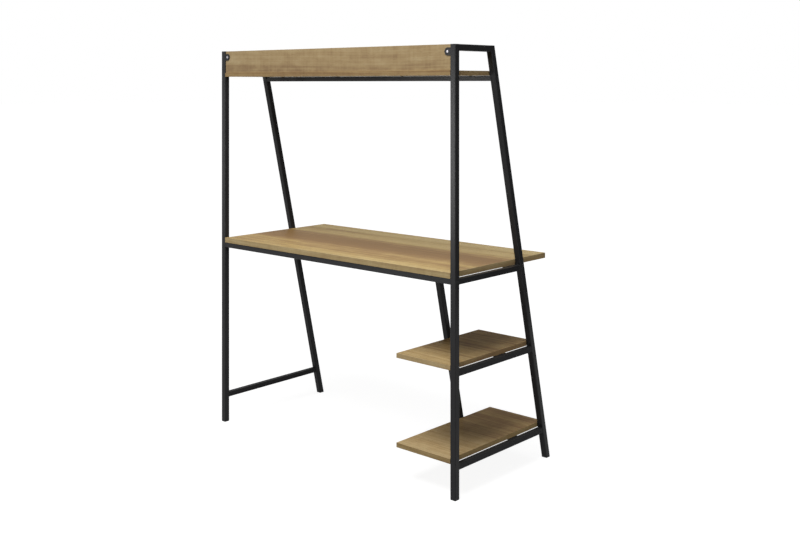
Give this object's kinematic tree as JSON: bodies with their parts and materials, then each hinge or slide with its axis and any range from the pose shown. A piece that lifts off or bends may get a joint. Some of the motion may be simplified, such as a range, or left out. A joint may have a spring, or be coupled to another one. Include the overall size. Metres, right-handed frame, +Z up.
{
  "type": "leaning frame desk with raised shelf and side shelves",
  "caption": "Writing desk with oak-look boards on a black square-tube frame: upright back posts, leaning front legs, a raised top shelf with a back rail board, and side shelves under one end.",
  "frame": {"origin": "on the floor, under the middle of the whole desk", "axes": "+Z is up, +Y is the back, with the upright posts, -Y is where the user sits, and the side shelves are at the -X end"},
  "size_m": [1.202, 0.547, 1.48],
  "materials": {
    "black_frame": "fine satin black powder coat on steel tube",
    "black_plastic": "matt moulded black plastic",
    "oak_board": "matt oak decor on chipboard, grain along the length",
    "oak_edging": "matt oak decor edging",
    "zinc_fasteners": "bright zinc plated steel",
    "beech_dowel": "plain beech",
    "grey_fibre": "plain grey vulcanised fibre"
  },
  "bodies": {
    "root": {"access_plugs": "black_plastic", "backboard_dowels": "beech_dowel", "backboard_edging": "oak_edging", "backboard_panel": "oak_board", "backboard_screws": "zinc_fasteners", "board_screws": "zinc_fasteners", "board_washers": "grey_fibre", "desk_back_rail": "black_frame", "desk_front_rail": "black_frame", "desktop_edging": "oak_edging", "desktop_panel": "oak_board", "lower_cross_rail": "black_frame", "lower_shelf_side_rail": "black_frame", "lower_side_shelf_edging": "oak_edging", "lower_side_shelf_panel": "oak_board", "lug_screws": "zinc_fasteners", "mid_leg": "black_frame", "mid_leg_foot": "black_plastic", "mid_leg_plate": "black_frame", "mid_leg_plate_screws": "zinc_fasteners", "open_side_back_foot": "black_plastic", "open_side_back_post": "black_frame", "open_side_desk_rail": "black_frame", "open_side_floor_rail": "black_frame", "open_side_front_foot": "black_plastic", "open_side_front_leg": "black_frame", "open_side_leg_cap": "black_plastic", "open_side_lug": "black_frame", "open_side_post_cap": "black_plastic", "open_side_top_rail": "black_frame", "rail_bolts": "zinc_fasteners", "rail_inserts": "zinc_fasteners", "shelf_side_back_foot": "black_plastic", "shelf_side_back_post": "black_frame", "shelf_side_desk_rail": "black_frame", "shelf_side_front_foot": "black_plastic", "shelf_side_front_leg": "black_frame", "shelf_side_leg_cap": "black_plastic", "shelf_side_lug": "black_frame", "shelf_side_post_cap": "black_plastic", "shelf_side_top_rail": "black_frame", "top_shelf_edging": "oak_edging", "top_shelf_panel": "oak_board", "top_shelf_rail": "black_frame", "upper_cross_rail": "black_frame", "upper_shelf_side_rail": "black_frame", "upper_side_shelf_edging": "oak_edging", "upper_side_shelf_panel": "oak_board"}
  },
  "joints": []
}
